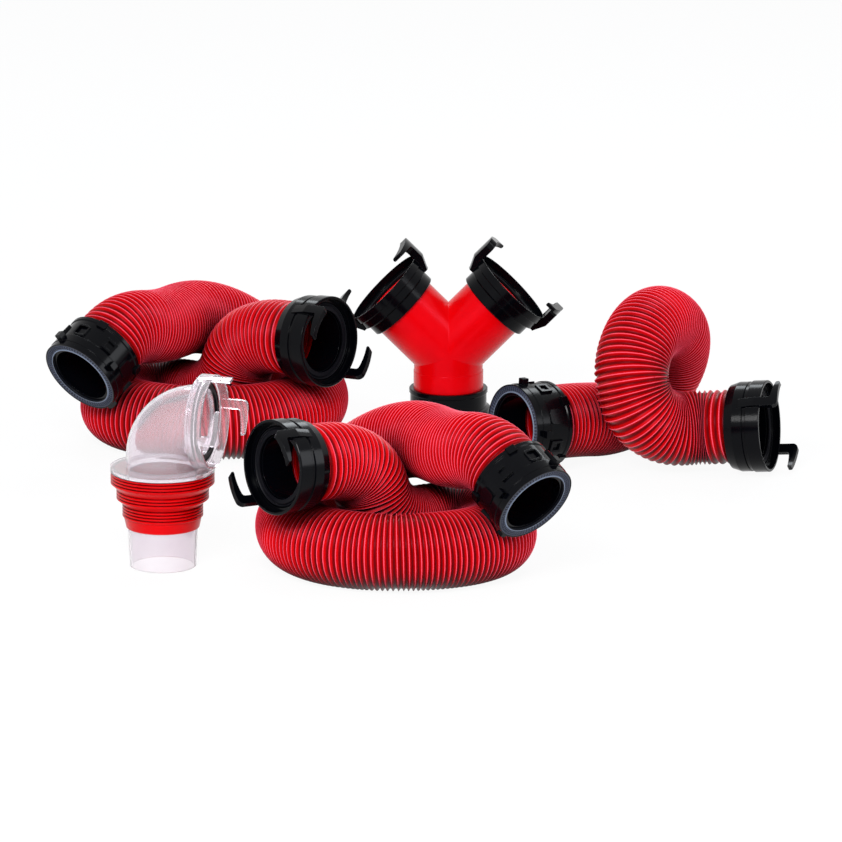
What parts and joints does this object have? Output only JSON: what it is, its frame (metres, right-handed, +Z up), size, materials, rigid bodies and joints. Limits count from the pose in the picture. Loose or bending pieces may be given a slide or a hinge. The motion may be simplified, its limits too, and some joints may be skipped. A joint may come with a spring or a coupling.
{
  "type": "sewer hose kit",
  "caption": "Caravan waste hose kit: ribbed bending hoses with turning hook and lug couplings, a wye and a clear elbow with a stepped threaded drain adapter",
  "frame": {"origin": "on the ground, on the axis of the wye's outlet, at the rim of its lug collar", "axes": "+Z up; +X to the right and +Y away from the side that the kit is seen from, so that the wye's legs lean to -X and +X"},
  "size_m": [0.8604, 0.8767, 0.2188],
  "materials": {
    "hose_red": "satin ribbed",
    "fitting_black": "moulded",
    "seal_navy": "smooth rubber",
    "wye_red": "gloss moulded",
    "clear_plastic": "clear moulded",
    "adapter_red": "satin moulded"
  },
  "bodies": {
    "front_hose_body": {"front_hose": "hose_red", "front_hook_coupler": "fitting_black", "front_hook_gasket": "seal_navy", "front_lug_coupler": "fitting_black", "front_lug_seal": "seal_navy"},
    "left_hose_body": {"left_hose": "hose_red", "left_hook_coupler": "fitting_black", "left_hook_gasket": "seal_navy", "left_lug_coupler": "fitting_black", "left_lug_seal": "seal_navy"},
    "short_hose_body": {"short_hose": "hose_red", "short_hook_coupler": "fitting_black", "short_hook_gasket": "seal_navy", "short_lug_coupler": "fitting_black", "short_lug_seal": "seal_navy"},
    "wye_fitting": {"wye_body": "wye_red", "wye_left_gasket": "seal_navy", "wye_right_gasket": "seal_navy", "wye_lug_seal": "seal_navy"},
    "elbow_fitting": {"elbow_body": "clear_plastic", "elbow_gasket": "seal_navy", "elbow_tube": "clear_plastic"},
    "front_hook_ring": {"front_hook_collar": "fitting_black"},
    "front_lug_ring": {"front_lug_collar": "fitting_black"},
    "left_hook_ring": {"left_hook_collar": "fitting_black"},
    "left_lug_ring": {"left_lug_collar": "fitting_black"},
    "short_hook_ring": {"short_hook_collar": "fitting_black"},
    "short_lug_ring": {"short_lug_collar": "fitting_black"},
    "wye_left_ring": {"wye_left_collar": "fitting_black"},
    "wye_right_ring": {"wye_right_collar": "fitting_black"},
    "wye_lug_ring": {"wye_lug_collar": "fitting_black"},
    "elbow_hook_ring": {"elbow_hook_collar": "clear_plastic"},
    "drain_adapter": {"elbow_adapter": "adapter_red"}
  },
  "joints": [
    {"name": "left_hose_lift", "type": "slide", "parent": "front_hose_body", "child": "left_hose_body", "axis": [-0.5, 0, 0.866], "range_m": [0, 0.3]},
    {"name": "short_hose_lift", "type": "slide", "parent": "front_hose_body", "child": "short_hose_body", "axis": [0, 0, 1], "range_m": [0, 0.3]},
    {"name": "wye_lift", "type": "slide", "parent": "front_hose_body", "child": "wye_fitting", "axis": [0, 0, 1], "range_m": [0, 0.3]},
    {"name": "elbow_lift", "type": "slide", "parent": "front_hose_body", "child": "elbow_fitting", "axis": [0, 0, 1], "range_m": [0, 0.3]},
    {"name": "front_hook_turn", "type": "hinge", "parent": "front_hose_body", "child": "front_hook_ring", "pos_m": [-0.195, -0.753, 0.138], "axis": [-0.7851, -0.6161, 0.064], "continuous": true},
    {"name": "front_lug_turn", "type": "hinge", "parent": "front_hose_body", "child": "front_lug_ring", "pos_m": [0.09, -0.772, 0.102], "axis": [0.5697, -0.6447, -0.5097], "continuous": true},
    {"name": "left_hook_turn", "type": "hinge", "parent": "left_hose_body", "child": "left_hook_ring", "pos_m": [-0.137, -0.177, 0.138], "axis": [0.7851, -0.6161, 0.064], "continuous": true},
    {"name": "left_lug_turn", "type": "hinge", "parent": "left_hose_body", "child": "left_lug_ring", "pos_m": [-0.422, -0.196, 0.102], "axis": [-0.5697, -0.6447, -0.5097], "continuous": true},
    {"name": "short_hook_turn", "type": "hinge", "parent": "short_hose_body", "child": "short_hook_ring", "pos_m": [0.364, -0.25, 0.057], "axis": [0.9583, -0.2709, 0.0903], "continuous": true},
    {"name": "short_lug_turn", "type": "hinge", "parent": "short_hose_body", "child": "short_lug_ring", "pos_m": [0.072, -0.247, 0.056], "axis": [-0.8116, -0.5811, 0.0601], "continuous": true},
    {"name": "wye_left_turn", "type": "hinge", "parent": "wye_fitting", "child": "wye_left_ring", "pos_m": [-0.07495, 0, 0.16055], "axis": [-0.7071, 0, 0.7071], "continuous": true},
    {"name": "wye_right_turn", "type": "hinge", "parent": "wye_fitting", "child": "wye_right_ring", "pos_m": [0.07495, 0, 0.16055], "axis": [0.7071, 0, 0.7071], "continuous": true},
    {"name": "wye_lug_turn", "type": "hinge", "parent": "wye_fitting", "child": "wye_lug_ring", "pos_m": [0, 0, 0], "axis": [0, 0, -1], "continuous": true},
    {"name": "elbow_hook_turn", "type": "hinge", "parent": "elbow_fitting", "child": "elbow_hook_ring", "pos_m": [-0.25886, -0.66178, 0.1655], "axis": [0.9563, -0.2924, 0], "continuous": true},
    {"name": "adapter_turn", "type": "hinge", "parent": "elbow_fitting", "child": "drain_adapter", "pos_m": [-0.317, -0.644, 0.075], "axis": [0, 0, 1], "continuous": true}
  ]
}
